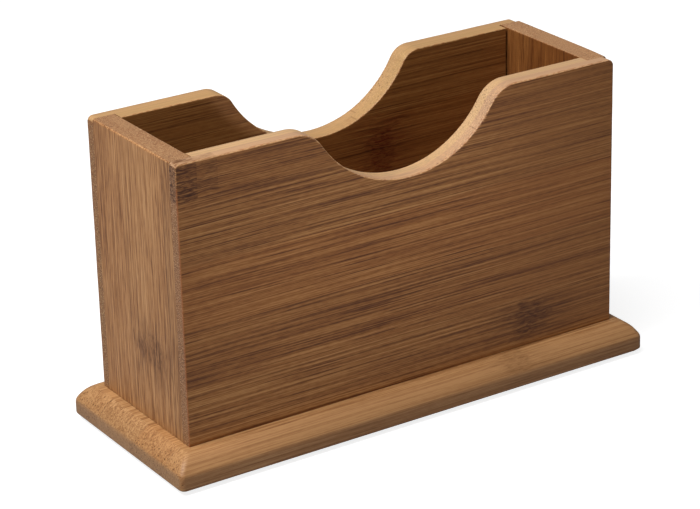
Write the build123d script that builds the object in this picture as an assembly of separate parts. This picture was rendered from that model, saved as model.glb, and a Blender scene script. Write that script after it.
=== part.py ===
from build123d import *
from build123d.topology import SkipClean
import os

os.makedirs("parts", exist_ok=True)

# Napkin holder: an open-topped box of four laminated bamboo boards on a moulded base board.
# Frame, millimetres: X along the length, Y from front to back, Z up from the table.
# The origin is on the table, under the middle of the box.

# ---- driving dimensions --------------------------------------------------------------
# Box of four upright boards
body_length = 190.0        # over the ends, along X
body_depth = 64.0          # over the front and back faces, along Y
body_height = 107.3        # from the top of the base board to the rim
board_thickness = 9.0      # two plies of 4.5
ply_thickness = board_thickness / 2

# Corner joint: the end boards sit in a rabbet in each end of the front and back boards
rabbet_width = board_thickness
rabbet_depth = ply_thickness

# Scoop in the rim of the front and back boards, for lifting the napkins out
scoop_depth = 26.0         # rim to the lowest point
scoop_radius = 44.0        # the hollow
shoulder_radius = 12.5     # where the hollow turns out into the rim
scoop_shift = 1.5          # both boards are cut from one template, this far off its middle
rim_corner_radius = 2.5    # upper corners of the front and back boards
eased_edge = 0.5           # sandpaper round on the edges a hand meets

# Base board with a moulded edge
base_thickness = 12.0
base_overhang = 9.3        # past the box, all round
base_margin = 2.8          # flat strip between the box and the moulding
moulding_foot = 6.1        # height of the line under the moulding, just above the ply joint
moulding_crown = 0.5       # how far the moulding swells past its straight chord
moulding_turn = 2.8        # radius at that line, where the moulding meets the upright face
base_corner_round = 2.0    # mitres and upright corners of the base, sanded
base_lower_bevel = 0.7     # lower edge of the base

# Countersunk wood screws, up through the base board into the end grain of the end boards
screw_length = 30.0
screw_radius = 1.75
screw_head_radius = 3.5
screw_head_height = 2.4
screw_tip_length = 4.0
screw_recess = 0.6         # head below the underside
screw_clearance = 0.25     # round the shank, in the base board
screw_spacing = 32.0       # between the two screws of one end board

# Rubber feet stuck under the base board
foot_radius = 5.0          # where it sticks to the base board
foot_tread_radius = 4.5    # where it meets the table
foot_height = 1.5
foot_inset = 13.0          # from the base's outer faces to a foot's centre

# ---- places that follow --------------------------------------------------------------
base_length = body_length + 2 * base_overhang
base_depth = body_depth + 2 * base_overhang
base_bottom = foot_height
base_top = base_bottom + base_thickness
end_board_length = body_depth - 2 * (board_thickness - rabbet_depth)
end_board_middle = body_length / 2 - board_thickness / 2
well_length = body_length - 2 * board_thickness
well_depth = body_depth - 2 * board_thickness
foot_x = base_length / 2 - foot_inset
foot_y = base_depth / 2 - foot_inset


def front_board():
    """Front board: scooped outline, eased edges and a rabbet for each end board."""
    with BuildPart() as board:
        outer_face = Plane.XZ.offset(body_depth / 2 - board_thickness)
        with BuildSketch(outer_face) as outline:
            with Locations((0, base_top)):
                Rectangle(body_length, body_height, align=(Align.CENTER, Align.MIN))
            hollow_height = base_top + body_height - scoop_depth + scoop_radius
            with Locations((scoop_shift, hollow_height)):
                Circle(scoop_radius, mode=Mode.SUBTRACT)
            rim_points = outline.vertices().group_by(Axis.Y)[-1].sort_by(Axis.X)
            fillet(rim_points[1:3], radius=shoulder_radius)
            rim_points = outline.vertices().group_by(Axis.Y)[-1].sort_by(Axis.X)
            fillet([rim_points[0], rim_points[-1]], radius=rim_corner_radius)
        extrude(amount=board_thickness)
        front_face = board.faces().sort_by(Axis.Y)[0]
        inner_face = board.faces().sort_by(Axis.Y)[-1]
        outer_edges = [e for e in front_face.edges() if e.center().Z > base_top]
        inner_rim_edges = [
            e
            for e in inner_face.edges()
            if e.center().Z > base_top and abs(e.center().X) < body_length / 2
        ]
        fillet(outer_edges + inner_rim_edges, radius=eased_edge)
        rabbet_y = -body_depth / 2 + board_thickness - rabbet_depth
        for side in (-1, 1):
            with Locations((side * end_board_middle, rabbet_y, base_top)):
                Box(
                    rabbet_width,
                    board_thickness,
                    body_height,
                    align=(Align.CENTER, Align.MIN, Align.MIN),
                    mode=Mode.SUBTRACT,
                )
    return board.part


def end_board(side, screws):
    """End board, with its outer and inner rim edges eased and its screws' own holes."""
    with BuildPart() as board:
        with Locations((side * end_board_middle, 0, base_top)):
            Box(
                board_thickness,
                end_board_length,
                body_height,
                align=(Align.CENTER, Align.CENTER, Align.MIN),
            )
        rim_edges = board.faces().sort_by(Axis.Z)[-1].edges().filter_by(Axis.Y)
        fillet(rim_edges, radius=eased_edge)
    return board.part - screws


def moulded_edge(half_width):
    """Half of the base board's section: underside, upright face, moulding, flat top."""
    ridge = half_width - base_overhang + base_margin
    with BuildSketch() as section:
        with BuildLine():
            upright = Line((half_width, 0), (half_width, moulding_foot))
            moulding = SagittaArc(upright @ 1, (ridge, base_thickness), -moulding_crown)
            Polyline(moulding @ 1, (0, base_thickness), (0, 0), upright @ 0)
        make_face()
        line_corner = section.vertices().sort_by_distance(upright @ 1)[0]
        fillet(line_corner, radius=moulding_turn)
    return section.sketch


def base_block():
    """Base board's outside: the moulding runs round all four sides and meets in mitres."""
    half_end = moulded_edge(base_length / 2)
    half_side = moulded_edge(base_depth / 2)
    along_x = Plane.XZ * (half_end + mirror(half_end, about=Plane.YZ))
    along_y = Plane.YZ * (half_side + mirror(half_side, about=Plane.YZ))
    lengthwise = extrude(along_x, amount=base_depth / 2, both=True)
    crosswise = extrude(along_y, amount=base_length / 2, both=True)
    block = lengthwise & crosswise
    corner_edges = [
        edge
        for edge in block.edges()
        if abs(edge.center().X) > body_length / 2
        and abs(edge.center().Y) > body_depth / 2
        and edge.center().Z > 0
    ]
    block = fillet(corner_edges, radius=base_corner_round)
    lower_edges = block.faces().sort_by(Axis.Z)[0].edges()
    block = chamfer(lower_edges, length=base_lower_bevel)
    return Pos(0, 0, base_bottom) * block


def base_board(holes):
    """Base board, drilled, with a split line in its top: the napkins' floor is its own face."""
    drilled = base_block() - holes
    floor = Pos(0, 0, base_top) * Box(
        well_length,
        well_depth,
        ply_thickness,
        align=(Align.CENTER, Align.CENTER, Align.MAX),
    )
    with SkipClean():
        return (drilled - floor) + floor


def wood_screw(head_top):
    """Countersunk screw, head down: its axis is Z and its point is up."""
    shank_start = head_top + screw_head_height
    tip_start = head_top + screw_length - screw_tip_length
    with BuildSketch(Plane.XZ) as half_section:
        with BuildLine():
            Polyline(
                (0, head_top),
                (screw_head_radius, head_top),
                (screw_radius, shank_start),
                (screw_radius, tip_start),
                (0, head_top + screw_length),
                close=True,
            )
        make_face()
    return revolve(half_section.sketch, axis=Axis.Z)


def screw_hole(head_top):
    """What one screw needs in the base board: recess, countersink and clearance hole."""
    recess = Cylinder(
        screw_head_radius, head_top, align=(Align.CENTER, Align.CENTER, Align.MIN)
    )
    shank = Cylinder(
        screw_radius + screw_clearance,
        base_top,
        align=(Align.CENTER, Align.CENTER, Align.MIN),
    )
    return recess + wood_screw(head_top) + shank


def rubber_foot():
    """Round foot, a little narrower at the table than where it sticks to the base board."""
    return Cone(
        foot_tread_radius,
        foot_radius,
        foot_height,
        align=(Align.CENTER, Align.CENTER, Align.MIN),
    )


# ---- the pieces, each a solid of its own ---------------------------------------------
head_top = base_bottom + screw_recess
screw_places = [
    Pos(end * end_board_middle, side * screw_spacing / 2, 0)
    for end in (-1, 1)
    for side in (-1, 1)
]
screws = Compound([place * wood_screw(head_top) for place in screw_places])
screw_holes = Compound([place * screw_hole(head_top) for place in screw_places])

front = front_board()
parts = {
    "front_board": front,
    "back_board": Rot(0, 0, 180) * front,
    "left_end_board": end_board(-1, screws),
    "right_end_board": end_board(1, screws),
    "base_board": base_board(screw_holes),
    "base_screws": screws,
}
for row, y in (("front", -foot_y), ("back", foot_y)):
    for side, x in (("left", -foot_x), ("right", foot_x)):
        parts[f"{row}_{side}_foot"] = Pos(x, y, 0) * rubber_foot()

for name, piece in parts.items():
    export_step(piece, f"parts/{name}.step")
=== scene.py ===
import math
from typing import NamedTuple

import bmesh
import bpy
from mathutils import Matrix, Vector, noise


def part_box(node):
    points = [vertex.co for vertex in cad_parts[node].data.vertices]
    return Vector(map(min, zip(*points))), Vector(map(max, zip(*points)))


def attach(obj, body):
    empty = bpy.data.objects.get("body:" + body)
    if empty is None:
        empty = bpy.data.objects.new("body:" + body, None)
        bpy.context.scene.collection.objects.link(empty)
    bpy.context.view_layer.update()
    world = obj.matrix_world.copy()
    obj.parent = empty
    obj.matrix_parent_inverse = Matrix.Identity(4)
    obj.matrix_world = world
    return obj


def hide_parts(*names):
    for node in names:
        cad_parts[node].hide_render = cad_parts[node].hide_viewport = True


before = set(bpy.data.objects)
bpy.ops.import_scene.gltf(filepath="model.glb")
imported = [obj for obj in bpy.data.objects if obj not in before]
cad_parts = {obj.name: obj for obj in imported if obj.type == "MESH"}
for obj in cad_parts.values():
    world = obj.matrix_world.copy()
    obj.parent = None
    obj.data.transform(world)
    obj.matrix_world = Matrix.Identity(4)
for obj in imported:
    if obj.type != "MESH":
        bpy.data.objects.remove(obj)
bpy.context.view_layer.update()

# ---- bamboo --------------------------------------------------------------------------
# All five boards are caramelised bamboo: steamed brown strips about 24 mm wide, glued edge
# to edge in two plies and lacquered satin. The fibres run along each strip, so the pattern
# is solid: long sides show streaks, cut ends show the dots of the same fibres.
mm = 0.001
second_ply_lane = 300.0  # strips of the second ply are numbered from here on


class Knuckle(NamedTuple):
    """Where a leaf once stood on a strip: its middle along and across the grain and its half
    sizes, in millimetres, how dark it is, which of the two plies it is in, and whether a saw
    cut it short, so that it ends in a crisp line."""

    along: float
    across: float
    half_length: float
    half_width: float
    strength: float
    ply: int = 0
    crisp: bool = False


def colour(red, green, blue):
    """An 8-bit screen colour as the linear colour that a shader takes."""
    linear = [((c / 255 + 0.055) / 1.055) ** 2.4 for c in (red, green, blue)]
    return (*linear, 1.0)


def plug(tree, socket, value):
    """Links a value that is a socket, and sets any other."""
    if isinstance(value, bpy.types.NodeSocket):
        tree.links.new(value, socket)
    else:
        socket.default_value = value


def node(tree, kind, inputs=(), **settings):
    """Adds a node. Inputs go by name or number; a socket among them is linked."""
    made = tree.nodes.new(kind)
    for key, value in settings.items():
        setattr(made, key, value)
    for key, value in dict(inputs).items():
        plug(tree, made.inputs[key], value)
    return made


def maths(tree, operation, *values):
    """One sum of a shader or shape tree, as its output socket."""
    kind = "ShaderNodeMath"
    return node(tree, kind, dict(enumerate(values)), operation=operation).outputs[0]


def plus(tree, first, second):
    """Two numbers added."""
    return maths(tree, "ADD", first, second)


def less(tree, first, second):
    """The first number less the second."""
    return maths(tree, "SUBTRACT", first, second)


def times(tree, first, second):
    """Two numbers multiplied."""
    return maths(tree, "MULTIPLY", first, second)


def times_plus(tree, first, second, third):
    """The first number times the second, plus the third."""
    return maths(tree, "MULTIPLY_ADD", first, second, third)


def vectors(tree, operation, *values):
    """One sum of vectors, as its output socket."""
    kind = "ShaderNodeVectorMath"
    return node(tree, kind, dict(enumerate(values)), operation=operation).outputs[0]


def vector(tree, x=0.0, y=0.0, z=0.0):
    """Three numbers as a vector socket."""
    return node(tree, "ShaderNodeCombineXYZ", {0: x, 1: y, 2: z}).outputs[0]


def ramped(tree, value, low, high, bottom=0.0, top=1.0):
    """Value eased from bottom to top as it goes from low to high."""
    inputs = {"Value": value, "From Min": low, "From Max": high, "To Min": bottom, "To Max": top}
    kind = "ShaderNodeMapRange"
    return node(tree, kind, inputs, interpolation_type="SMOOTHSTEP").outputs["Result"]


def blended(tree, mode, share, under, over):
    """Two colours mixed, as an output socket."""
    inputs = {0: share, 6: under, 7: over}
    return node(tree, "ShaderNodeMix", inputs, data_type="RGBA", blend_type=mode).outputs[2]


def stretched(tree, grain, lengths, detail=2.0, roughness=0.55):
    """Noise whose grains are lengths long, in millimetres, along, across and through."""
    spread = vectors(tree, "MULTIPLY", grain, [1 / length for length in lengths])
    inputs = {"Vector": spread, "Scale": 1.0, "Detail": detail, "Roughness": roughness}
    return node(tree, "ShaderNodeTexNoise", inputs).outputs[0]


def strip_numbers(tree, lane, joints, seed):
    """A number for each strip, from 0 to 1, that changes at each of the joints."""
    beyond = 40
    golden_step, seed_step, offset = 0.618, 0.37, 0.21
    lowest, highest = joints[0] - beyond, joints[-1] + beyond
    inputs = {"Value": lane, "From Min": lowest, "From Max": highest}
    share = node(tree, "ShaderNodeMapRange", inputs, interpolation_type="LINEAR")
    numbers = node(tree, "ShaderNodeValToRGB", {0: share.outputs["Result"]})
    numbers.color_ramp.interpolation = "CONSTANT"
    stops = numbers.color_ramp.elements
    stops[1].position = 1.0
    for count, joint in enumerate(joints):
        stop = stops.new((joint - lowest) / (highest - lowest))
        number = (count * golden_step + seed * seed_step + offset) % 1
        stop.color = (number, number, number, 1)
    return numbers.outputs[0]


def nearest(tree, place, lines):
    """How far a place is from the nearest of some lines."""
    gap = None
    for line in lines:
        away = maths(tree, "ABSOLUTE", less(tree, place, line))
        gap = away if gap is None else maths(tree, "MINIMUM", gap, away)
    return gap


def knuckle_marks(tree, knuckles, joints, axes, lane, drift):
    """How dark the knuckles make a spot, and how much its fibres swirl there. A knuckle is
    a ragged patch of broken bars, with tails of dark fibres before and behind it."""
    bar_pitch, bar_waver = 1.7, 2.2
    raggedness = 1.7
    joint_fade = 0.3
    length, width = axes
    uneven = less(tree, stretched(tree, drift, (8, 3.2, 3.2)), 0.5)
    wave = times_plus(tree, uneven, bar_waver, width)
    wave = maths(tree, "SINE", times(tree, wave, 2 * math.pi / bar_pitch))
    broken = ramped(tree, stretched(tree, drift, (5, 1.6, 1.6), detail=2), 0.38, 0.60)
    bars = times(tree, ramped(tree, wave, -0.6, 0.9), broken)
    specks = ramped(tree, stretched(tree, drift, (2.2, 0.7, 0.7), detail=1), 0.50, 0.64)
    bars = maths(tree, "MAXIMUM", bars, times(tree, specks, 0.8))
    tails = ramped(tree, stretched(tree, drift, (24, 0.8, 0.8), detail=2), 0.42, 0.62)
    darkness = swirl = 0.0
    for knuckle in knuckles:
        own_lane = knuckle.across + second_ply_lane * knuckle.ply
        low = max(joint for joint in joints if joint <= own_lane)
        high = min(joint for joint in joints if joint > own_lane)
        in_strip = times(
            tree,
            ramped(tree, lane, low, low + joint_fade),
            ramped(tree, lane, high - joint_fade, high, 1.0, 0.0),
        )
        reach_along = less(tree, length, knuckle.along)
        reach_along = maths(tree, "DIVIDE", reach_along, knuckle.half_length)
        reach_across = less(tree, width, knuckle.across)
        reach_across = maths(tree, "DIVIDE", reach_across, knuckle.half_width)
        reach = {0: vector(tree, reach_along, reach_across)}
        reach = node(tree, "ShaderNodeVectorMath", reach, operation="LENGTH").outputs["Value"]
        reach = times_plus(tree, uneven, raggedness, reach)
        if knuckle.crisp:
            short = ramped(tree, maths(tree, "ABSOLUTE", reach_along), 0.96, 1.04, 1.0, 0.0)
            high_enough = ramped(tree, reach_across, -1.25, -0.75)
            patch = times(tree, short, high_enough)
            mark = times(tree, patch, times_plus(tree, bars, 0.8, 0.2))
        else:
            patch = ramped(tree, reach, 0.45, 1.15, 1.0, 0.0)
            mark = times(tree, patch, times_plus(tree, bars, 0.6, 0.4))
            beside = times(
                tree,
                ramped(tree, maths(tree, "ABSOLUTE", reach_along), 0.7, 2.6, 0.6, 0.0),
                ramped(tree, maths(tree, "ABSOLUTE", reach_across), 0.7, 1.05, 1.0, 0.0),
            )
            mark = maths(tree, "MAXIMUM", mark, times(tree, beside, tails))
        share = times(tree, in_strip, knuckle.strength)
        darkness = maths(tree, "MAXIMUM", darkness, times(tree, mark, share))
        near = times(tree, ramped(tree, reach, 0.8, 1.5, 1.0, 0.0), in_strip)
        swirl = maths(tree, "MAXIMUM", swirl, near)
    return darkness, times(tree, swirl, uneven)


def blank_material(name):
    """A new material with an empty shader tree, and that tree."""
    material = bpy.data.materials.new(name)
    material.use_nodes = True
    material.node_tree.nodes.clear()
    return material, material.node_tree


def surface(tree, inputs):
    """Ends a shader tree with a principled surface."""
    shader = node(tree, "ShaderNodeBsdfPrincipled", inputs)
    node(tree, "ShaderNodeOutputMaterial", {0: shader.outputs[0]})


def bamboo(
    name,
    along,
    across,
    joints,
    ply_line,
    tones,
    tints,
    fleck,
    contrast,
    ply_step,
    knuckles,
    seed,
    knuckle_tint=colour(152, 129, 104),
    calm_end=1.0,
):
    """Lacquered bamboo. along and across are the board's grain and width axes. joints are the
    strips' glue lines across each ply and ply_line is the one between the plies. tints are
    the colours of a strip's edge in each ply and of its cut end. fleck is how long the
    fibres' streaks are, contrast how strong, and ply_step how much lighter the second ply
    is. calm_end is the share of that contrast that is left near the board's far end."""
    material, tree = blank_material(name)
    place = node(tree, "ShaderNodeTexCoord").outputs
    inputs = {0: place["Object"], "Scale": 1 / mm}
    scaled = node(tree, "ShaderNodeVectorMath", inputs, operation="SCALE")
    axes = node(tree, "ShaderNodeSeparateXYZ", {0: scaled.outputs[0]}).outputs
    facing = node(tree, "ShaderNodeSeparateXYZ", {0: place["Normal"]}).outputs
    through = ({0, 1, 2} - {along, across}).pop()
    length, width, depth = axes[along], axes[across], axes[through]

    # Each strip has its own number, and its own stretch of the pattern.
    strip_stride, layer_stride = 431.0, 17.0
    ply = maths(tree, "GREATER_THAN", depth, ply_line)
    lane = times_plus(tree, ply, second_ply_lane, width)
    all_joints = [*joints[0], *(second_ply_lane + joint for joint in joints[1])]
    strip = strip_numbers(tree, lane, all_joints, seed)
    shifted = times_plus(tree, strip, strip_stride, length)
    drift = vector(tree, shifted, width, depth)

    # Fibres wander a little along a strip, and swirl at its knuckles.
    wander_width, swirl_width = 0.9, 2.4
    wander = less(tree, stretched(tree, drift, (75, 26, 26), detail=1), 0.5)
    knot, swirl = knuckle_marks(tree, knuckles, all_joints, (length, width), lane, drift)
    bend = times_plus(tree, swirl, swirl_width, times(tree, wander, wander_width))
    bent = plus(tree, width, bend)
    layer = times_plus(tree, strip, layer_stride, depth)
    grain = vector(tree, shifted, bent, layer)
    broad = stretched(tree, grain, (130, 7.5, 7), detail=1)
    streak = stretched(tree, grain, (1.5 * fleck, 0.95, 0.95), detail=2, roughness=0.6)
    fibre = stretched(tree, grain, (0.6 * fleck, 0.4, 0.4), detail=1)
    speck = stretched(tree, grain, (3.2, 0.5, 0.5), detail=1)
    vessel_pitch = 0.85
    cells = vectors(tree, "MULTIPLY", grain, (2 / fleck, 1 / vessel_pitch, 1 / vessel_pitch))
    bundle = node(tree, "ShaderNodeTexVoronoi", {"Vector": cells, "Scale": 1.0})
    vessel = ramped(tree, bundle.outputs["Distance"], 0.10, 0.36, 1.0, 0.0)
    own_number = node(tree, "ShaderNodeSeparateColor", {0: bundle.outputs["Color"]}).outputs[0]
    vessel = times(tree, vessel, ramped(tree, own_number, 0, 1, 0.2, 1))

    # One number says how light the wood is, and three tones give it its colour.
    mean_tone = 0.42
    calm_from, calm_to = 5.0, 70.0
    parts = (
        (broad, 0.22),
        (streak, 0.84),
        (fibre, 0.92),
        (speck, 0.34),
        (less(tree, 0.8, vessel), 0.30),
        (strip, 0.12),
    )
    pattern = 0.0
    for part, weight in parts:
        weight *= contrast
        pattern = times_plus(tree, less(tree, part, 0.5), weight, pattern)
    calm = ramped(tree, length, calm_from, calm_to, 1.0, calm_end)
    tone = times_plus(tree, pattern, calm, times(tree, ply, ply_step))
    tone = plus(tree, tone, mean_tone)
    dark, middle_tone, light = tones
    shades = node(tree, "ShaderNodeValToRGB", {0: tone})
    stops = shades.color_ramp.elements
    stops[0].position, stops[0].color = 0.22, dark
    stops[1].position, stops[1].color = 0.80, light
    stops.new(0.5).color = middle_tone
    wood = shades.outputs[0]

    # Some strips are redder. A strip's edge is paler than its face, and a cut end has dots.
    redder = times(tree, maths(tree, "FRACT", times(tree, strip, 7.3)), 0.6)
    wood = blended(tree, "MULTIPLY", redder, wood, colour(246, 228, 208))
    outer_tint, inner_tint, end_tint = tints
    rim_tint = blended(tree, "MIX", ply, outer_tint, inner_tint)
    on_rim = ramped(tree, maths(tree, "ABSOLUTE", facing[across]), 0.2, 0.55)
    wood = blended(tree, "MIX", times(tree, on_rim, 0.5), wood, rim_tint)
    along_grain = maths(tree, "ABSOLUTE", facing[along])
    on_end = ramped(tree, along_grain, 0.86, 0.97)
    wood = blended(tree, "MIX", times(tree, on_end, 0.55), wood, end_tint)
    cut = ramped(tree, along_grain, 0.35, 0.75)
    wood = blended(tree, "MULTIPLY", times(tree, cut, vessel), wood, colour(118, 82, 58))
    flecks = times(tree, cut, ramped(tree, fibre, 0.50, 0.68, 0.0, 0.5))
    wood = blended(tree, "MIX", flecks, wood, rim_tint)
    wood = blended(tree, "MULTIPLY", knot, wood, knuckle_tint)
    glue = ramped(tree, nearest(tree, lane, all_joints), 0.05, 0.20, 1.0, 0.0)
    wood = blended(tree, "MULTIPLY", times(tree, glue, 0.3), wood, colour(110, 72, 54))

    # The edge attribute is above 0 where sanding bared an edge and a painted highlight lights its
    # middle, and below 0 where a saw singed it.
    edge_wear_and_highlight = node(tree, "ShaderNodeAttribute", attribute_name="worn_and_highlit_edge").outputs["Fac"]
    rubbed_and_highlit = times(tree, edge_wear_and_highlight, ramped(tree, fibre, 0.36, 0.66, 0.1, 0.9))
    wood = blended(tree, "MIX", rubbed_and_highlit, wood, colour(206, 160, 110))
    hairs = ramped(tree, stretched(tree, drift, (1.5, 0.45, 0.45), detail=1), 0.46, 0.60)
    frayed = times(tree, ramped(tree, edge_wear_and_highlight, 0.03, 0.3, 0.0, 0.6), hairs)
    wood = blended(tree, "MULTIPLY", frayed, wood, colour(196, 152, 126))
    singed = times(tree, edge_wear_and_highlight, -0.8)
    wood = blended(tree, "MIX", singed, wood, colour(152, 92, 54))

    relief = times_plus(tree, streak, 0.8, times(tree, fibre, 0.5))
    relief = times_plus(tree, vessel, -0.3, relief)
    relief = times_plus(tree, glue, -0.6, relief)
    bump = node(tree, "ShaderNodeBump", {"Strength": 0.4, "Distance": 0.1 * mm, "Height": relief})
    sheen = ramped(tree, streak, 0.3, 0.7, 0.52, 0.42)
    lacquer = {"Base Color": wood, "Roughness": sheen, "Specular IOR Level": 0.35}
    surface(tree, {**lacquer, "Normal": bump.outputs[0]})
    return material


# ---- front board and back board ------------------------------------------------------
# Two boards cut with one template, 9 mm thick, grain lengthwise. A cutter scooped each rim
# and tore a few fibres; the shoulders are sanded by hand, to 12.5 mm in front and 8.5 mm
# behind. A rabbet across the inside of each end takes the end board, glued.
front_low, front_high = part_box("front_board")
board_length = front_high.x - front_low.x
board_thickness = front_high.y - front_low.y
board_foot = front_low.z
rim_height = front_high.z - front_low.z
ply_thickness = board_thickness / 2
scoop_depth = 26 * mm
scoop_radius = 44 * mm
scoop_shift = 1.5 * mm
rabbet_width = board_thickness


def arc(centre_x, centre_z, radius, start, end, step=0.4 * mm):
    """Points of an arc in a board's face, from one angle to the other."""
    count = max(4, int(abs(end - start) * radius / step))
    turns = [start + (end - start) * k / count for k in range(count + 1)]
    return [(centre_x + radius * math.cos(t), centre_z + radius * math.sin(t)) for t in turns]


def straight(start, end, step):
    """Points of a straight run, without its two ends."""
    count = max(1, round(math.dist(start, end) / step))
    (ax, az), (bx, bz) = start, end
    return [(ax + (bx - ax) * k / count, az + (bz - az) * k / count) for k in range(1, count)]


def scooped_outline(shoulder_radius, left_corner, right_corner):
    """Points round a scooped board's face, from its lower left corner, anticlockwise."""
    half = board_length / 2
    hollow_z = rim_height - scoop_depth + scoop_radius
    shoulder_z = rim_height - shoulder_radius
    reach = scoop_radius + shoulder_radius
    lean = math.acos((hollow_z - shoulder_z) / reach)
    side_step = reach * math.sin(lean)
    right_x, left_x = scoop_shift + side_step, scoop_shift - side_step
    quarter = math.pi / 2
    fine_step, rim_step, end_step = 0.3 * mm, 1 * mm, 2 * mm
    right_arc = arc(
        half - right_corner, rim_height - right_corner, right_corner, 0, quarter, fine_step
    )
    right_shoulder = arc(right_x, shoulder_z, shoulder_radius, quarter, quarter + lean)
    hollow = arc(scoop_shift, hollow_z, scoop_radius, -quarter + lean, -quarter - lean)
    left_shoulder = arc(left_x, shoulder_z, shoulder_radius, quarter - lean, quarter)
    left_arc = arc(
        -half + left_corner, rim_height - left_corner, left_corner, quarter, math.pi, fine_step
    )
    points = [(-half, 0.0), (half, 0.0)]
    points += straight((half, 0.0), right_arc[0], end_step)
    points += right_arc + straight(right_arc[-1], right_shoulder[0], rim_step)
    points += right_shoulder + hollow[1:-1] + left_shoulder
    points += straight(left_shoulder[-1], left_arc[0], rim_step) + left_arc
    points += straight(left_arc[-1], (-half, 0.0), end_step)
    return points


def inward(points):
    """For each point, the step in a board's face that moves both its edges in by one."""
    steps = []
    for k, here in enumerate(points):
        before, after = points[k - 1], points[(k + 1) % len(points)]
        normals = []
        for a, b in ((before, here), (here, after)):
            run = math.dist(a, b)
            normals.append(((a[1] - b[1]) / run, (b[0] - a[0]) / run))
        (ax, az), (bx, bz) = normals
        spread = 1 + ax * bx + az * bz
        steps.append(((ax + bx) / spread, (az + bz) / spread))
    return steps


def closed_up(shell, rings):
    """Skins a row of rings, all with the same number of points, and closes both ends."""
    for near, far in zip(rings, rings[1:]):
        for k in range(len(near)):
            shell.faces.new((near[k - 1], near[k], far[k], far[k - 1]))
    shell.faces.new(rings[0])
    shell.faces.new(reversed(rings[-1]))


def weld(shell, gap):
    """Merges points that are closer than the gap, and drops edges that have no length."""
    bmesh.ops.remove_doubles(shell, verts=shell.verts, dist=gap)
    bmesh.ops.dissolve_degenerate(shell, edges=shell.edges, dist=gap)


def scooped_board(name, sign, rounds, rabbet_gaps, seed):
    """One scooped board. sign is 1 for the front board and -1 for the back one. rounds are
    the radii of the scoop's shoulders and of the upper left and right corners. The fibres
    tear most where the scoop slopes, because there the cutter leaves the wood."""
    chip_size, wave_size = 0.9 * mm, 9 * mm
    mean_round, round_change = 0.42, 0.1
    torn_width, torn_height = 50 * mm, 27 * mm
    elsewhere, deepest_tear = 0.12, 0.62
    points = scooped_outline(*rounds)
    steps = inward(points)
    eased, torn = [], []
    for (x, z), (step_x, _) in zip(points, steps):
        rough = noise.noise(Vector((x / chip_size, z / chip_size, seed)))
        slow = noise.noise(Vector((x / wave_size, z / wave_size, seed + 5)))
        in_scoop = abs(x - scoop_shift) < torn_width and z > rim_height - torn_height
        slope = min(1.0, max(0.0, abs(step_x) * 2.2 - 0.3)) if in_scoop else elsewhere
        eased.append((mean_round + round_change * slow) * mm)
        torn.append(slope * max(0.0, rough + 0.15 + 0.5 * slow) * deepest_tear * mm)

    # Each ring is a copy of the outline: what it belongs to, its angle or depth, its wear. The
    # wear also holds a painted highlight along the middle of each eased edge.
    face_margin, side_margin = 0.3 * mm, 1.4 * mm
    curl = [math.radians(angle) for angle in (0, 22.5, 45, 67.5, 90)]
    rings = [("outer", None, 0.0)]
    rings += [("outer", angle, max(math.sin(2 * angle), 0.4 * math.sin(angle))) for angle in curl]
    rings += [("side", side_margin, 0.0), ("side", ply_thickness, 0.0)]
    rings += [("rabbet", ply_thickness, 0.0), ("rabbet", board_thickness - side_margin, 0.0)]
    rings += [("inner", angle, math.sin(2 * angle)) for angle in reversed(curl)]
    rings += [("inner", None, 0.0)]
    left_gap, right_gap = rabbet_gaps
    left_rabbet = -board_length / 2 + rabbet_width + left_gap
    right_rabbet = board_length / 2 - rabbet_width - right_gap
    upright_below = rim_height - 8 * mm
    shell = bmesh.new()
    edge_wear_and_highlight = shell.verts.layers.float.new("worn_and_highlit_edge")
    loops = []
    for kind, value, wear_and_highlight in rings:
        loop = []
        for (x, z), (step_x, step_z), round_off, tear in zip(points, steps, eased, torn):
            inset = depth = 0.0
            if kind == "outer":
                inset = round_off + tear + face_margin
                if value is not None:
                    inset = (round_off + tear) * (1 - math.sin(value))
                    depth = (round_off + 0.5 * tear) * (1 - math.cos(value))
            elif kind == "inner":
                inset, depth = round_off + face_margin, board_thickness
                if value is not None:
                    inset = round_off * (1 - math.sin(value))
                    depth = board_thickness - round_off * (1 - math.cos(value))
            else:
                depth = value
            place_x = x + step_x * inset
            if kind in ("rabbet", "inner"):
                place_x = min(max(place_x, left_rabbet), right_rabbet)
            place_y = front_low.y + depth
            place_z = board_foot + z + step_z * inset
            vertex = shell.verts.new((sign * place_x, sign * place_y, place_z))
            upright = abs(step_x) > 0.9 and z < upright_below
            vertex[edge_wear_and_highlight] = -wear_and_highlight if upright else wear_and_highlight
            loop.append(vertex)
        loops.append(loop)
    closed_up(shell, loops)
    weld(shell, gap=1e-7)
    return finished(shell, name)


def added(name, data):
    """A new object with this data, in the scene."""
    thing = bpy.data.objects.new(name, data)
    bpy.context.scene.collection.objects.link(thing)
    return thing


def finished(shell, name):
    """A mesh object from a closed shell, faces outward and smooth up to 35 degrees."""
    bmesh.ops.recalc_face_normals(shell, faces=shell.faces)
    mesh = bpy.data.meshes.new(name)
    shell.to_mesh(mesh)
    shell.free()
    mesh.shade_smooth()
    mesh.set_sharp_from_angle(angle=math.radians(35))
    return added(name, mesh)


def fitted(piece, cad_node, material=None):
    """The piece takes the place of its CAD node on the one body that this object has."""
    if material is not None:
        piece.data.materials.clear()
        piece.data.materials.append(material)
    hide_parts(cad_node)
    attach(piece, "root")


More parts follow.
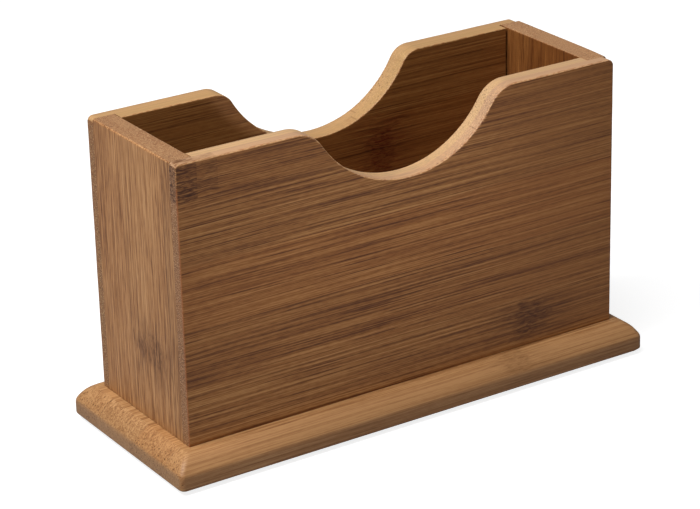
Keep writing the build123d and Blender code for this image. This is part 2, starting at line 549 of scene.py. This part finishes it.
hairline = 0.06 * mm
face_tones = (colour(97, 52, 18), colour(153, 99, 48), colour(190, 137, 80))
front_tints = (colour(222, 184, 148), colour(228, 195, 150), colour(124, 86, 57))
back_tints = (colour(212, 176, 124), colour(214, 178, 128), colour(126, 88, 60))
front_rounds = (12.5 * mm, 1.4 * mm, 2.6 * mm)
front_board = scooped_board("front_panel", 1, front_rounds, (hairline, hairline), seed=3)
front_bamboo = bamboo(
    "front_bamboo",
    along=0,
    across=2,
    joints=((13.0, 33.0, 57.5, 82.5, 106.5, 126.0), (8.0, 25.0, 48.0, 71.0, 91.0, 126.0)),
    ply_line=(front_low.y + ply_thickness) / mm,
    tones=face_tones,
    tints=front_tints,
    fleck=85,
    contrast=1.0,
    ply_step=0.06,
    knuckles=(
        Knuckle(56, 24, 11, 10, 1.0),
        Knuckle(-91, 113, 4.4, 7.5, 1.0, crisp=True),
        Knuckle(-82.5, 114, 4.1, 5, 0.5, crisp=True),
        Knuckle(-91, 118, 8, 9, 0.3, ply=1),
    ),
    seed=1,
    calm_end=0.6,
)
fitted(front_board, "front_board", front_bamboo)

back_rounds = (8.5 * mm, 2.6 * mm, 2.2 * mm)
open_joint = 0.9 * mm
back_board = scooped_board("back_panel", -1, back_rounds, (open_joint, hairline), seed=8)
back_bamboo = bamboo(
    "back_bamboo",
    along=0,
    across=2,
    joints=((13.0, 26.0, 49.5, 73.5, 98.0, 126.0), (10.0, 30.0, 54.0, 77.0, 99.0, 126.0)),
    ply_line=(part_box("back_board")[0].y + ply_thickness) / mm,
    tones=face_tones,
    tints=back_tints,
    fleck=85,
    contrast=0.6,
    ply_step=0.04,
    knuckles=(Knuckle(26, 84, 8, 15, 1.0), Knuckle(-60, 46, 10, 11, 0.6, ply=1)),
    seed=2,
    knuckle_tint=colour(168, 100, 112),
)
fitted(back_board, "back_board", back_bamboo)

# ---- end boards ----------------------------------------------------------------------
# Two boards of the same bamboo stood on end, so that their fibres run up and their sawn
# tops show end grain. They are glued into the rabbets, flush outside; their top edges are
# sanded by hand, the right one most at the front corner, and slightly ragged.


def end_board(name, cad_node, rounds, seed):
    """One end board, drawn as its section and carried from front to back. rounds are the
    radii of its outer top edge at the front corner and further back."""
    low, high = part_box(cad_node)
    height, thickness = high.z - low.z, high.x - low.x
    outer_x = low.x if low.x < 0 else high.x
    inward_x = 1 if low.x < 0 else -1
    corner_round, later_round = rounds
    foot_round, glue_gap = 0.25 * mm, 0.05 * mm
    chip_size, inner_chip = 0.8 * mm, 1.1 * mm
    chip_depth = margin = 0.3 * mm
    count = 110
    shell = bmesh.new()
    edge_wear_and_highlight = shell.verts.layers.float.new("worn_and_highlit_edge")
    rows = []
    for k in range(count + 1):
        y = low.y + glue_gap + (high.y - low.y - 2 * glue_gap) * k / count
        rough = max(0.0, noise.noise(Vector((y / chip_size, seed, 0))))
        rough_inside = max(0.0, noise.noise(Vector((y / inner_chip, seed, 7))))
        at_corner = (1 - k / count) ** 9
        outer_round = later_round + (corner_round - later_round) * at_corner
        outer_round += chip_depth * rough
        inner_round = (0.30 + 0.2 * rough_inside) * mm
        section = [(0.0, foot_round, 0.0), (0.0, height * 0.5, 0.0)]
        section += [(0.0, height - outer_round - margin, 0.0)]
        # Both rounded top edges get a pale line along their middle: sanding wear and a painted
        # highlight.
        for angle in (0, 18, 36, 54, 72, 90):
            turn = math.radians(angle)
            depth = outer_round * (1 - math.cos(turn))
            drop = outer_round * (1 - math.sin(turn))
            wear_and_highlight = min(1.0, 0.5 * mm / outer_round) * math.sin(2 * turn)
            section += [(depth, height - drop, wear_and_highlight)]
        section += [(outer_round + margin, height, 0.0)]
        section += [(thickness - inner_round - margin, height, 0.0)]
        for angle in (90, 45, 0):
            turn = math.radians(angle)
            depth = thickness - inner_round * (1 - math.cos(turn))
            drop = inner_round * (1 - math.sin(turn))
            section += [(depth, height - drop, 0.6 * math.sin(2 * turn))]
        section += [(thickness, height - inner_round - margin, 0.0), (thickness, foot_round, 0.0)]
        section += [(thickness - foot_round, 0.0, 0.0), (foot_round, 0.0, 0.0)]
        row = []
        for depth, z, wear_and_highlight in section:
            vertex = shell.verts.new((outer_x + inward_x * depth, y, low.z + z))
            vertex[edge_wear_and_highlight] = wear_and_highlight
            row.append(vertex)
        rows.append(row)
    closed_up(shell, rows)
    return finished(shell, name)


left_tones = (colour(118, 74, 40), colour(169, 121, 76), colour(197, 151, 103))
# The right board's tones are darker and redder than the left's: painted shade and warm bounce
# light from inside the box.
right_shaded_tones = (colour(88, 46, 16), colour(128, 79, 37), colour(160, 108, 58))
end_joints = ((-29.0, -22.5, 6.5, 29.0), (-29.0, -14.0, 10.5, 29.0))
left_cut, right_cut = colour(137, 97, 68), colour(186, 140, 100)
left_knuckle, right_knuckle = Knuckle(42, -8, 7, 14, 0.9), Knuckle(70, 20, 10, 9, 0.6, ply=1)
edge_tint = colour(214, 178, 134)
for side, rounds, tones, cut_tint, contrast, knuckle, seed in (
    ("left", (0.5 * mm, 0.7 * mm), left_tones, left_cut, 1.0, left_knuckle, 11),
    ("right", (1.2 * mm, 0.25 * mm), right_shaded_tones, right_cut, 0.75, right_knuckle, 17),
):
    cad_node = f"{side}_end_board"
    board = end_board(f"{side}_end_panel", cad_node, rounds, seed)
    low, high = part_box(cad_node)
    end_bamboo = bamboo(
        f"{side}_end_bamboo",
        along=2,
        across=1,
        joints=end_joints,
        ply_line=(low.x + high.x) / 2 / mm,
        tones=tones,
        tints=(edge_tint, edge_tint, cut_tint),
        fleck=24,
        contrast=contrast,
        ply_step=0.0,
        knuckles=(knuckle,),
        seed=seed,
    )
    fitted(board, cad_node, end_bamboo)

# ---- base board ----------------------------------------------------------------------
# One bamboo board, 12 mm thick, grain lengthwise. A cutter ran the same moulding along its
# four sides, so it meets in mitres at the corners, which are sanded round. Four countersunk
# holes on its underside let the screws through.


def shape_tree(name, sizes):
    """A new geometry tree with a named input for each size."""
    tree = bpy.data.node_groups.new(name, "GeometryNodeTree")
    for size in sizes:
        tree.interface.new_socket(size, in_out="INPUT", socket_type="NodeSocketFloat")
    tree.interface.new_socket("Geometry", in_out="OUTPUT", socket_type="NodeSocketGeometry")
    return tree, node(tree, "NodeGroupInput").outputs


def shape(tree, kind, inputs=(), **settings):
    """A geometry node's first output."""
    return node(tree, kind, inputs, **settings).outputs[0]


def joined(tree, parts):
    """Several geometries as one."""
    join = node(tree, "GeometryNodeJoinGeometry")
    for part in parts:
        tree.links.new(part, join.inputs[0])
    return join.outputs[0]


def one_by_one(tree, kind, values):
    """The first value for the first point, the second for the second, and so on."""
    switch = node(tree, "GeometryNodeIndexSwitch", data_type=kind)
    while len(switch.index_switch_items) < len(values):
        switch.index_switch_items.new()
    tree.links.new(shape(tree, "GeometryNodeInputIndex"), switch.inputs[0])
    for socket, value in zip(switch.inputs[1:], values):
        plug(tree, socket, value)
    return switch.outputs[0]


def dots(tree, places):
    """Points at these places."""
    loose = shape(tree, "GeometryNodePoints", {"Count": len(places)})
    inputs = {0: loose, "Position": one_by_one(tree, "VECTOR", places)}
    return shape(tree, "GeometryNodeSetPosition", inputs)


def rounded(tree, curve, radius, steps):
    """A curve with its corners filleted."""
    inputs = {"Curve": curve, "Count": steps, "Radius": radius, "Limit Radius": True}
    return shape(tree, "GeometryNodeFilletCurve", inputs, mode="POLY")


def turned(tree, outline, sides):
    """A closed shell turned on a lathe: outline holds radii and heights, from below upward."""
    axis = dots(tree, [vector(tree, z=height) for _, height in outline])
    circle = shape(tree, "GeometryNodeCurvePrimitiveCircle", {0: sides, "Radius": 1.0})
    inputs = {
        "Curve": shape(tree, "GeometryNodePointsToCurves", {0: axis}),
        "Profile Curve": circle,
        "Scale": one_by_one(tree, "FLOAT", [radius for radius, _ in outline]),
        "Fill Caps": True,
    }
    return shape(tree, "GeometryNodeCurveToMesh", inputs)


def moved(tree, geometry, place):
    """A geometry carried by a vector."""
    return shape(tree, "GeometryNodeTransform", {0: geometry, "Translation": place})


def cut_away(tree, block, tools):
    """A block without what each of the tools takes from it."""
    cut = node(tree, "GeometryNodeMeshBoolean", {"Mesh 1": block}, operation="DIFFERENCE")
    for tool in tools:
        tree.links.new(tool, cut.inputs["Mesh 2"])
    return cut.outputs[0]


def at_screws(tree, size, geometry):
    """A copy of the geometry under each screw: two below each end board, each one turned."""
    screw_x, screw_y = size["Screw x"], size["Screw y"]
    left_x, front_y = (times(tree, value, -1.0) for value in (screw_x, screw_y))
    foot = size["Foot height"]
    places = [vector(tree, x, y, foot) for x in (left_x, screw_x) for y in (front_y, screw_y)]
    turns = [(0, 0, angle) for angle in (0.3, 1.1, 0.75, 0.1)]
    inputs = {
        "Points": dots(tree, places),
        "Instance": geometry,
        "Rotation": one_by_one(tree, "VECTOR", turns),
    }
    copies = shape(tree, "GeometryNodeInstanceOnPoints", inputs)
    return shape(tree, "GeometryNodeRealizeInstances", {0: copies})


def finish_tree(tree, geometry, material):
    """Ends a tree with realised instances and the material."""
    whole = shape(tree, "GeometryNodeRealizeInstances", {0: geometry})
    dressed = shape(tree, "GeometryNodeSetMaterial", {0: whole, "Material": material})
    node(tree, "NodeGroupOutput", {0: dressed})


def grown(name, tree, sizes):
    """Runs a tree with these sizes and returns its result as an object with a plain mesh."""
    holder = added(name + "_tree", bpy.data.meshes.new(name + "_tree"))
    modifier = holder.modifiers.new("shape", "NODES")
    modifier.node_group = tree
    for item in tree.interface.items_tree:
        if item.in_out == "INPUT":
            modifier[item.identifier] = sizes[item.name]
    evaluated = holder.evaluated_get(bpy.context.evaluated_depsgraph_get())
    mesh = bpy.data.meshes.new_from_object(evaluated)
    holder.modifiers.remove(modifier)
    bpy.data.objects.remove(holder)
    shell = bmesh.new()
    shell.from_mesh(mesh)
    weld(shell, gap=1e-6)
    piece = finished(shell, name)
    for material in mesh.materials:
        piece.data.materials.append(material)
    return piece


base_low, base_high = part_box("base_board")
left_end_low, left_end_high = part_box("left_end_board")
screw_sizes = {
    "Screw x": -(left_end_low.x + left_end_high.x) / 2,
    "Screw y": 16 * mm,
    "Foot height": base_low.z,
    "Head radius": 3.5 * mm,
    "Head height": 2.4 * mm,
    "Recess": 0.6 * mm,
}
base_sizes = {
    "Length": base_high.x - base_low.x,
    "Depth": base_high.y - base_low.y,
    "Thickness": base_high.z - base_low.z,
    "Overhang": 9.3 * mm,
    "Margin": 2.8 * mm,
    "Line height": 6.1 * mm,
    "Line round": 3.6 * mm,
    "Crown": 0.85 * mm,
    "Front left round": 2.0 * mm,
    "Front right round": 2.6 * mm,
    "Back left round": 4.2 * mm,
    "Back right round": 3.0 * mm,
    "Lower bevel": 0.9 * mm,
    "Hole radius": 2.0 * mm,
    **screw_sizes,
}


def moulding_section(tree, size):
    """The moulded edge's section: how far out and how high, from the underside to the top."""
    over, margin, thick = size["Overhang"], size["Margin"], size["Thickness"]
    line_z, bevel = size["Line height"], size["Lower bevel"]

    def on_crown(share):
        """A point part of the way up the moulding, which swells past its straight chord."""
        run = times_plus(tree, less(tree, margin, over), share, over)
        rise = times_plus(tree, less(tree, thick, line_z), share, line_z)
        swell = times(tree, size["Crown"], 4 * share * (1 - share) * math.sqrt(0.5))
        return plus(tree, run, swell), plus(tree, rise, swell)

    spots = [
        (less(tree, over, bevel), 0.0),
        (over, bevel),
        (over, line_z),
        *(on_crown(share) for share in (0.4, 0.6, 0.8)),
        (margin, thick),
        (times(tree, margin, 0.5), thick),
    ]
    line = dots(tree, [vector(tree, out, z=height) for out, height in spots])
    line = shape(tree, "GeometryNodePointsToCurves", {0: line})
    eased, on_arc = 0.3 * mm, 9 * mm
    radii = [0.0, eased, size["Line round"], on_arc, on_arc, on_arc, eased, 0.0]
    return spots, rounded(tree, line, one_by_one(tree, "FLOAT", radii), steps=5)


def base_tree(material):
    """The moulding's section, carried round a rounded rectangle by moving it outward."""
    tree, size = shape_tree("moulded_base", base_sizes)
    box_length = times_plus(tree, size["Overhang"], -2.0, size["Length"])
    box_depth = times_plus(tree, size["Overhang"], -2.0, size["Depth"])
    inputs = {"Width": box_length, "Height": box_depth}
    ring = shape(tree, "GeometryNodeCurvePrimitiveQuadrilateral", inputs, mode="RECTANGLE")
    corners = ("Back right", "Back left", "Front left", "Front right")
    radii = [size[f"{corner} round"] for corner in corners]
    ring = rounded(tree, ring, one_by_one(tree, "FLOAT", radii), steps=7)
    spots, section = moulding_section(tree, size)
    ring_count, section_count = (
        shape(tree, "GeometryNodeAttributeDomainSize", {0: curve}, component="CURVE")
        for curve in (ring, section)
    )
    position = shape(tree, "GeometryNodeInputPosition")
    counter = shape(tree, "GeometryNodeInputIndex")
    inputs = {"Vertices X": plus(tree, ring_count, 1.0), "Vertices Y": section_count}
    sheet = shape(tree, "GeometryNodeMeshGrid", inputs)
    row = maths(tree, "FLOOR", maths(tree, "DIVIDE", plus(tree, counter, 0.5), section_count))
    step = less(tree, counter, times(tree, row, section_count))

    def sampled(curve, number):
        """Where a curve's numbered point is."""
        inputs = {"Geometry": curve, "Index": number}
        taken = node(tree, "GeometryNodeSampleIndex", inputs, data_type="FLOAT_VECTOR")
        tree.links.new(position, taken.inputs["Value"])
        return taken.outputs[0]

    def outward(spot, offset):
        """A point of the ring, moved out on both axes: corner rounds keep their radius."""
        side = vectors(tree, "SIGN", spot)
        apart = node(tree, "ShaderNodeSeparateXYZ", {0: offset}).outputs
        push = vectors(tree, "MULTIPLY", side, vector(tree, apart[0], apart[0]))
        return vectors(tree, "ADD", vectors(tree, "ADD", push, spot), vector(tree, z=apart[2]))

    on_ring = sampled(ring, maths(tree, "MODULO", row, ring_count))
    wall_places = outward(on_ring, sampled(section, step))
    faces = [shape(tree, "GeometryNodeSetPosition", {0: sheet, "Position": wall_places})]
    for out, height in (spots[0], spots[-1]):
        edge_places = outward(position, vector(tree, out))
        edge = shape(tree, "GeometryNodeSetPosition", {0: ring, "Position": edge_places})
        flat = shape(tree, "GeometryNodeFillCurve", {"Curve": edge}, mode="NGONS")
        faces.append(moved(tree, flat, vector(tree, z=height)))
    block = joined(tree, faces)
    block = shape(tree, "GeometryNodeMergeByDistance", {0: block, "Distance": 1e-5})
    block = moved(tree, block, vector(tree, z=size["Foot height"]))
    past_face = 1 * mm
    shank_start = plus(tree, size["Recess"], size["Head height"])
    drill = turned(
        tree,
        (
            (size["Head radius"], -past_face),
            (size["Head radius"], size["Recess"]),
            (size["Hole radius"], shank_start),
            (size["Hole radius"], plus(tree, size["Thickness"], past_face)),
        ),
        sides=40,
    )
    finish_tree(tree, cut_away(tree, block, [at_screws(tree, size, drill)]), material)
    return tree


base_tones = (colour(106, 66, 34), colour(154, 109, 67), colour(191, 148, 101))
lower_ply = 6.2
base_bamboo = bamboo(
    "base_bamboo",
    along=0,
    across=1,
    joints=((-44.0, -28.5, -4.0, 21.5, 44.0), (-44.0, -30.0, -7.5, 19.5, 44.0)),
    ply_line=base_low.z / mm + lower_ply,
    tones=base_tones,
    tints=(colour(150, 103, 62), colour(168, 121, 77), colour(158, 123, 88)),
    fleck=70,
    contrast=1.0,
    ply_step=0.14,
    knuckles=(Knuckle(45, -36, 8, 7, 0.45, ply=1),),
    seed=4,
)
base_board = grown("moulded_base", base_tree(base_bamboo), base_sizes)
fitted(base_board, "base_board")

# ---- screws --------------------------------------------------------------------------
# Four zinc-plated steel wood screws, 30 mm long, countersunk with a cross recess. They are
# driven up through the base board into the end grain of the end boards, heads just below
# the underside.
screw_sizes = {
    **screw_sizes,
    "Length": 30 * mm,
    "Crest radius": 1.75 * mm,
    "Core radius": 1.2 * mm,
    "Plain shank": 10 * mm,
    "Tip length": 4 * mm,
    "Pitch": 1.8 * mm,
    "Slot length": 3.9 * mm,
    "Slot width": 0.85 * mm,
    "Slot depth": 1.7 * mm,
}


def even_noise(tree, scale, detail):
    """Noise without a grain, scale cells to the metre."""
    place = node(tree, "ShaderNodeTexCoord").outputs["Object"]
    inputs = {"Vector": place, "Scale": scale, "Detail": detail}
    return node(tree, "ShaderNodeTexNoise", inputs).outputs[0]


def plated_steel():
    """Bright zinc with a warm cast, dulled in patches and slightly gritty."""
    material, tree = blank_material("zinc_plating")
    cloud, grit = even_noise(tree, 900.0, 3.0), even_noise(tree, 5200.0, 2.0)
    patch = ramped(tree, cloud, 0.35, 0.65)
    zinc = blended(tree, "MIX", patch, colour(196, 190, 172), colour(222, 220, 212))
    rough = times_plus(tree, grit, 0.16, ramped(tree, cloud, 0.3, 0.7, 0.34, 0.22))
    bump = node(tree, "ShaderNodeBump", {"Strength": 0.25, "Distance": 0.02 * mm, "Height": grit})
    plating = {"Base Color": zinc, "Metallic": 1.0, "Roughness": rough}
    surface(tree, {**plating, "Normal": bump.outputs[0]})
    return material


def screw_tree(material):
    """One screw with its head on the ground, turned and threaded, then copied to its places."""
    tree, size = shape_tree("wood_screws", screw_sizes)
    length, core, crest = size["Length"], size["Core radius"], size["Crest radius"]
    plain_end = plus(tree, size["Head height"], size["Plain shank"])
    tip_start = less(tree, length, size["Tip length"])
    head, shank_radius = size["Head radius"], plus(tree, core, 0.3 * mm)
    body = turned(
        tree,
        (
            (less(tree, head, 0.12 * mm), 0.0),
            (head, 0.1 * mm),
            (head, 0.25 * mm),
            (shank_radius, size["Head height"]),
            (shank_radius, plain_end),
            (core, plus(tree, plain_end, 0.4 * mm)),
            (core, tip_start),
            (0.05 * mm, length),
        ),
        sides=36,
    )

    # A slot's block is centred on the head's face, and narrows upward into the screw.
    block_height = times(tree, size["Slot depth"], 2.0)
    block = vector(tree, size["Slot length"], size["Slot width"], block_height)
    slot = shape(tree, "GeometryNodeMeshCube", {"Size": block})
    position = shape(tree, "GeometryNodeInputPosition")
    height = node(tree, "ShaderNodeSeparateXYZ", {0: position}).outputs[2]
    at_face, narrowing = 0.8, -0.35
    taper = maths(tree, "DIVIDE", height, size["Slot depth"])
    taper = plus(tree, times(tree, taper, narrowing), at_face)
    tapered = vectors(tree, "MULTIPLY", position, vector(tree, taper, taper, 1.0))
    slot = shape(tree, "GeometryNodeSetPosition", {0: slot, "Position": tapered})
    quarter = (0, 0, math.pi / 2)
    cross_slot = shape(tree, "GeometryNodeTransform", {0: slot, "Rotation": quarter})
    body = cut_away(tree, body, [slot, cross_slot])

    # The thread is a four-sided wire wound on the core; its last turns close in on the tip.
    run = less(tree, tip_start, plain_end)
    wire_radius = less(tree, crest, core)
    wire = shape(tree, "GeometryNodeCurvePrimitiveCircle", {0: 4, "Radius": wire_radius})
    coils = []
    for start, rise, end_radius in (
        (plain_end, run, core),
        (tip_start, size["Tip length"], 0.1 * mm),
    ):
        turns = maths(tree, "DIVIDE", rise, size["Pitch"])
        inputs = {
            "Resolution": 16,
            "Rotations": maths(tree, "ROUND", turns),
            "Start Radius": core,
            "End Radius": end_radius,
            "Height": rise,
        }
        coil = shape(tree, "GeometryNodeCurveSpiral", inputs)
        coil = shape(tree, "GeometryNodeSetCurveNormal", {0: coil}, mode="Z_UP")
        inputs = {"Curve": coil, "Profile Curve": wire, "Fill Caps": True}
        if end_radius is not core:
            share = node(tree, "GeometryNodeSplineParameter").outputs["Factor"]
            inputs["Scale"] = ramped(tree, share, 0.0, 1.0, 1.0, 0.15)
        coil = shape(tree, "GeometryNodeCurveToMesh", inputs)
        coils.append(moved(tree, coil, vector(tree, z=start)))
    screw = moved(tree, joined(tree, [body, *coils]), vector(tree, z=size["Recess"]))
    finish_tree(tree, at_screws(tree, size, screw), material)
    return tree


screws = grown("wood_screws", screw_tree(plated_steel()), screw_sizes)
fitted(screws, "base_screws")

# ---- feet ----------------------------------------------------------------------------
# Four round feet of dark moulded rubber, 1.5 mm high, stuck under the corners of the base
# board. They widen a little to the face that is stuck.
foot_low, foot_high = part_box("front_left_foot")
foot_sizes = {
    "Centre x": 0.0,
    "Centre y": 0.0,
    "Height": foot_high.z - foot_low.z,
    "Stuck radius": (foot_high.x - foot_low.x) / 2,
    "Tread radius": 4.5 * mm,
    "Edge round": 0.25 * mm,
}


def foot_rubber():
    """Matt dark rubber, a little dusty."""
    material, tree = blank_material("foot_rubber")
    dust, pores = even_noise(tree, 700.0, 4.0), even_noise(tree, 4200.0, 2.0)
    dusty = ramped(tree, dust, 0.42, 0.72)
    rubber = blended(tree, "MIX", dusty, colour(34, 33, 31), colour(62, 58, 53))
    rough = times_plus(tree, dust, 0.2, 0.66)
    bump = node(tree, "ShaderNodeBump", {"Strength": 0.4, "Distance": 0.03 * mm, "Height": pores})
    surface(tree, {"Base Color": rubber, "Roughness": rough, "Normal": bump.outputs[0]})
    return material


def foot_tree(material):
    """A foot turned on its own axis, with a rounded tread edge, carried to its place."""
    tree, size = shape_tree("rubber_foot", foot_sizes)
    tread, edge = size["Tread radius"], size["Edge round"]
    stuck, top = size["Stuck radius"], size["Height"]
    lip_inset, lip_height = 0.1 * mm, 0.15 * mm
    outline = []
    for angle in (0, 30, 60, 90):
        turn = math.radians(angle)
        inset = times(tree, edge, 1 - math.sin(turn))
        height = times(tree, edge, 1 - math.cos(turn))
        outline.append((less(tree, tread, inset), height))
    outline += [(stuck, less(tree, top, lip_height)), (less(tree, stuck, lip_inset), top)]
    foot = turned(tree, outline, sides=64)
    foot = moved(tree, foot, vector(tree, size["Centre x"], size["Centre y"]))
    finish_tree(tree, foot, material)
    return tree


foot_maker = foot_tree(foot_rubber())
for row in ("front", "back"):
    for side in ("left", "right"):
        cad_node = f"{row}_{side}_foot"
        low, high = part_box(cad_node)
        foot_sizes["Centre x"] = (low.x + high.x) / 2
        foot_sizes["Centre y"] = (low.y + high.y) / 2
        foot = grown(f"{row}_{side}_rubber", foot_maker, foot_sizes)
        fitted(foot, cad_node)

# ---- table and light -----------------------------------------------------------------
# A white table between pale walls. One square softbox hangs to the left and a weaker one
# overhead, and a narrow spot, low in front, lifts the middle of the front board.
table, tree = blank_material("white_table")
seen = node(tree, "ShaderNodeLightPath").outputs["Is Camera Ray"]
matt = node(tree, "ShaderNodeBsdfDiffuse", {"Color": (0.40, 0.40, 0.40, 1)}).outputs[0]
brightness = times(tree, seen, 0.83)
glow = node(tree, "ShaderNodeEmission", {"Strength": brightness}).outputs[0]
both = node(tree, "ShaderNodeAddShader", {0: matt, 1: glow}).outputs[0]
node(tree, "ShaderNodeOutputMaterial", {0: both})
table_half = 4.0
floor_mesh = bpy.data.meshes.new("table_top")
floor_mesh.from_pydata(
    [(x * table_half, y * table_half, 0) for x, y in ((-1, -1), (1, -1), (1, 1), (-1, 1))],
    [],
    [(0, 1, 2, 3)],
)
floor_mesh.materials.append(table)
floor = added("table_top", floor_mesh)

world = bpy.data.worlds.new("studio_walls")
bpy.context.scene.world = world
world.use_nodes = True
tree = world.node_tree
tree.nodes.clear()
path = node(tree, "ShaderNodeLightPath").outputs
walls, white = (
    node(tree, "ShaderNodeBackground", {"Color": (1, 1, 1, 1), "Strength": strength}).outputs[0]
    for strength in (0.17, 1.0)
)
mixed = node(tree, "ShaderNodeMixShader", {0: path["Is Camera Ray"], 1: walls, 2: white})
node(tree, "ShaderNodeOutputWorld", {0: mixed.outputs[0]})


def aimed_lamp(name, kind, place, target, power):
    """A lamp of one kind that looks at a point of the holder."""
    lamp = bpy.data.lights.new(name, kind)
    lamp.energy = power
    lamp_object = added(name, lamp)
    aim = Vector(target) - Vector(place)
    lamp_object.location = place
    lamp_object.rotation_euler = aim.to_track_quat("-Z", "Y").to_euler()
    return lamp


for name, place, power in (
    ("left_softbox", (-0.80, 0.0, 1.2), 13.9),
    ("overhead_softbox", (-0.35, -0.25, 1.2), 7.0),
):
    softbox = aimed_lamp(name, "AREA", place, (0, 0, 0.06), power)
    softbox.shape = "SQUARE"
    softbox.size = 0.5
spot = aimed_lamp("front_spot", "SPOT", (0.28, -1.27, 0.03), (-0.005, -0.032, 0.068), 33.0)
spot.spot_size = math.radians(7.4)
spot.spot_blend = 1.0
spot.shadow_soft_size = 0.10

# ---- camera --------------------------------------------------------------------------
# Long lens, from the front left and above, as the photograph was taken.
heading = math.radians(32.643)
tilt = math.radians(22.60)
roll = math.radians(-1.466)
focal_pixels = 2683.7
frame_width = 700
camera = bpy.data.cameras.new("camera")
camera.sensor_width = 36.0
camera.lens = focal_pixels / frame_width * camera.sensor_width
camera.clip_start = 0.05
camera_object = added("camera", camera)
turn = Matrix.Rotation(-heading, 4, "Z") @ Matrix.Rotation(math.pi / 2 - tilt, 4, "X")
turn = turn @ Matrix.Rotation(roll, 4, "Z")
camera_place = (-0.5079, -0.7858, 0.4434)
camera_object.matrix_world = Matrix.Translation(camera_place) @ turn
bpy.context.scene.camera = camera_object
bpy.context.scene.view_settings.view_transform = "Standard"
